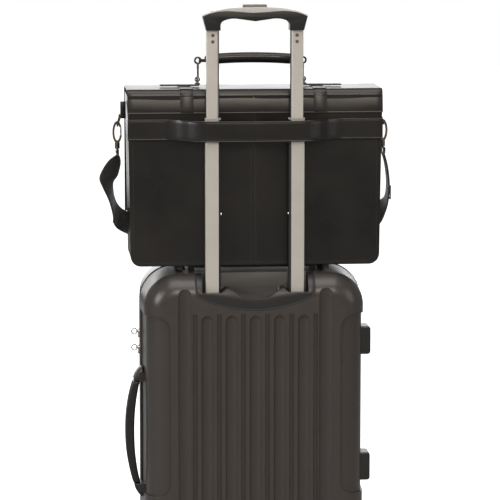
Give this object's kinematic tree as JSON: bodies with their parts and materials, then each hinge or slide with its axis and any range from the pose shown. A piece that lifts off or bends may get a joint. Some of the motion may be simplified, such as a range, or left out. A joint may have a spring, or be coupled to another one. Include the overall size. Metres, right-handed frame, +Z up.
{
  "type": "rolling laptop case",
  "caption": "Black leather flap-over laptop case strapped to the telescopic handle of a ribbed hard-shell spinner trolley case.",
  "frame": {"origin": "the floor point midway between the four spinner wheels' swivel axes", "axes": "+Z up; the trolley case's tube side and the laptop case's back face -Y; +X to the right seen from there"},
  "size_m": [0.4909, 0.23, 0.999],
  "materials": {
    "shell_plastic": "fine-textured satin polycarbonate, dark graphite brown",
    "trim_plastic": "moulded charcoal plastic",
    "zip_fabric": "black woven zip tape with coil teeth and piping",
    "grip_plastic": "charcoal soft-touch plastic",
    "grip_cover_plastic": "light grey satin plastic",
    "tube_aluminium": "drawn and anodised, champagne silver",
    "collar_plastic": "grey plastic glide collar",
    "lining_fabric": "grey lining cloth over board",
    "black_leather": "smooth black full-grain leather, soft sheen",
    "padded_lining": "padded cloth divider",
    "bronze_metal": "antique bronze plating, worn bright on the edges",
    "zip_metal": "polished nickel",
    "wheel_rubber": "hard black rubber on a grey hub"
  },
  "bodies": {
    "trolley_case": {"rear_shell": "shell_plastic", "handle_well": "trim_plastic", "rear_zip_band": "zip_fabric", "outer_tubes": "tube_aluminium", "tube_bracket": "trim_plastic", "lining_panel": "lining_fabric", "handle_brackets": "trim_plastic", "side_feet": "trim_plastic", "zip_sliders": "zip_metal", "rear_caster_housings": "trim_plastic"},
    "front_case": {"front_shell": "shell_plastic", "front_zip_band": "zip_fabric", "front_caster_housings": "trim_plastic"},
    "handle_middle": {"mid_tubes": "tube_aluminium", "mid_tube_collars": "collar_plastic", "mid_tube_studs": "tube_aluminium"},
    "handle_grip": {"inner_tubes": "tube_aluminium", "tube_rivets": "tube_aluminium", "grip_body": "grip_plastic", "grip_cover": "grip_cover_plastic"},
    "grip_release": {"release_button": "grip_cover_plastic", "push_rods": "tube_aluminium"},
    "side_grab": {"side_handle": "grip_plastic"},
    "top_grab": {"top_handle": "trim_plastic"},
    "zip_pull_1": {"zip_ring_1": "zip_metal"},
    "zip_pull_2": {"zip_ring_2": "zip_metal"},
    "laptop_case": {"bag_body": "black_leather", "laptop_sleeve": "padded_lining", "front_pocket": "black_leather", "bag_feet": "bronze_metal", "flap_yoke": "black_leather", "yoke_straps": "black_leather", "sleeve_strap": "black_leather", "ring_tabs": "black_leather", "d_rings": "bronze_metal", "snap_hooks": "bronze_metal", "strap_rings": "bronze_metal", "strap_left_drop": "black_leather", "strap_right_drop": "black_leather", "strap_front_run": "black_leather", "strap_slider": "bronze_metal"},
    "case_flap": {"flap": "black_leather", "flap_straps": "black_leather", "flap_clasps": "bronze_metal", "handle_tabs": "black_leather", "handle_loops": "bronze_metal"},
    "carry_handle": {"carry_grip": "black_leather", "grip_end_loops": "black_leather", "handle_links": "bronze_metal"},
    "left_gate": {"hook_gate_left": "bronze_metal"},
    "right_gate": {"hook_gate_right": "bronze_metal"},
    "fork_rear_left": {"fork_rear_left": "trim_plastic"},
    "wheels_rear_left": {"wheels_rear_left": "wheel_rubber"},
    "fork_rear_right": {"fork_rear_right": "trim_plastic"},
    "wheels_rear_right": {"wheels_rear_right": "wheel_rubber"},
    "fork_front_left": {"fork_front_left": "trim_plastic"},
    "wheels_front_left": {"wheels_front_left": "wheel_rubber"},
    "fork_front_right": {"fork_front_right": "trim_plastic"},
    "wheels_front_right": {"wheels_front_right": "wheel_rubber"}
  },
  "joints": [
    {"name": "front_shell_opens", "type": "hinge", "parent": "trolley_case", "child": "front_case", "pos_m": [0.19, 0, 0.304], "axis": [0, 0, -1], "range_deg": [0, 100]},
    {"name": "middle_tube_slide", "type": "slide", "parent": "trolley_case", "child": "handle_middle", "axis": [0, 0, 1], "range_m": [-0.284, 0]},
    {"name": "inner_tube_slide", "type": "slide", "parent": "handle_middle", "child": "handle_grip", "axis": [0, 0, 1], "range_m": [-0.145, 0]},
    {"name": "release_button_press", "type": "slide", "parent": "handle_grip", "child": "grip_release", "axis": [0, 0, -1], "range_m": [0, 0.0035], "stiffness_N_per_m": 800, "springref_m": -0.002},
    {"name": "side_handle_pull", "type": "slide", "parent": "trolley_case", "child": "side_grab", "axis": [-1, 0, 0], "range_m": [0, 0.006], "stiffness_N_per_m": 600, "springref_m": -0.001},
    {"name": "top_handle_lift", "type": "slide", "parent": "trolley_case", "child": "top_grab", "axis": [0, 0, 1], "range_m": [0, 0.002]},
    {"name": "laptop_case_lift", "type": "slide", "parent": "trolley_case", "child": "laptop_case", "axis": [0, 0, 1], "range_m": [0, 0.45]},
    {"name": "flap_opens", "type": "hinge", "parent": "laptop_case", "child": "case_flap", "pos_m": [0, -0.08, 0.853], "axis": [1, 0, 0], "range_deg": [0, 44]},
    {"name": "carry_handle_swing", "type": "hinge", "parent": "case_flap", "child": "carry_handle", "pos_m": [0, -0.014, 0.869], "axis": [-1, 0, 0], "range_deg": [-45, 45]},
    {"name": "left_gate_opens", "type": "hinge", "parent": "laptop_case", "child": "left_gate", "pos_m": [-0.2194, -0.014, 0.777], "axis": [0, -1, 0], "range_deg": [0, 18], "stiffness_Nm_per_rad": 0.02},
    {"name": "right_gate_opens", "type": "hinge", "parent": "laptop_case", "child": "right_gate", "pos_m": [0.2194, -0.014, 0.777], "axis": [0, 1, 0], "range_deg": [0, 18], "stiffness_Nm_per_rad": 0.02},
    {"name": "zip_ring_1_swing", "type": "hinge", "parent": "trolley_case", "child": "zip_pull_1", "pos_m": [-0.1932, 0, 0.438], "axis": [0, 0, 1], "range_deg": [-70, 70]},
    {"name": "zip_ring_2_swing", "type": "hinge", "parent": "trolley_case", "child": "zip_pull_2", "pos_m": [-0.1932, 0, 0.41], "axis": [0, 0, 1], "range_deg": [-70, 70]},
    {"name": "rear_left_swivel", "type": "hinge", "parent": "trolley_case", "child": "fork_rear_left", "pos_m": [-0.146, -0.07, 0.046], "axis": [0, 0, 1], "continuous": true},
    {"name": "rear_left_roll", "type": "hinge", "parent": "fork_rear_left", "child": "wheels_rear_left", "pos_m": [-0.146, -0.056, 0.022], "axis": [1, 0, 0], "continuous": true},
    {"name": "rear_right_swivel", "type": "hinge", "parent": "trolley_case", "child": "fork_rear_right", "pos_m": [0.146, -0.07, 0.046], "axis": [0, 0, 1], "continuous": true},
    {"name": "rear_right_roll", "type": "hinge", "parent": "fork_rear_right", "child": "wheels_rear_right", "pos_m": [0.146, -0.056, 0.022], "axis": [1, 0, 0], "continuous": true},
    {"name": "front_left_swivel", "type": "hinge", "parent": "front_case", "child": "fork_front_left", "pos_m": [-0.146, 0.07, 0.046], "axis": [0, 0, 1], "continuous": true},
    {"name": "front_left_roll", "type": "hinge", "parent": "fork_front_left", "child": "wheels_front_left", "pos_m": [-0.146, 0.084, 0.022], "axis": [1, 0, 0], "continuous": true},
    {"name": "front_right_swivel", "type": "hinge", "parent": "front_case", "child": "fork_front_right", "pos_m": [0.146, 0.07, 0.046], "axis": [0, 0, 1], "continuous": true},
    {"name": "front_right_roll", "type": "hinge", "parent": "fork_front_right", "child": "wheels_front_right", "pos_m": [0.146, 0.084, 0.022], "axis": [1, 0, 0], "continuous": true}
  ]
}
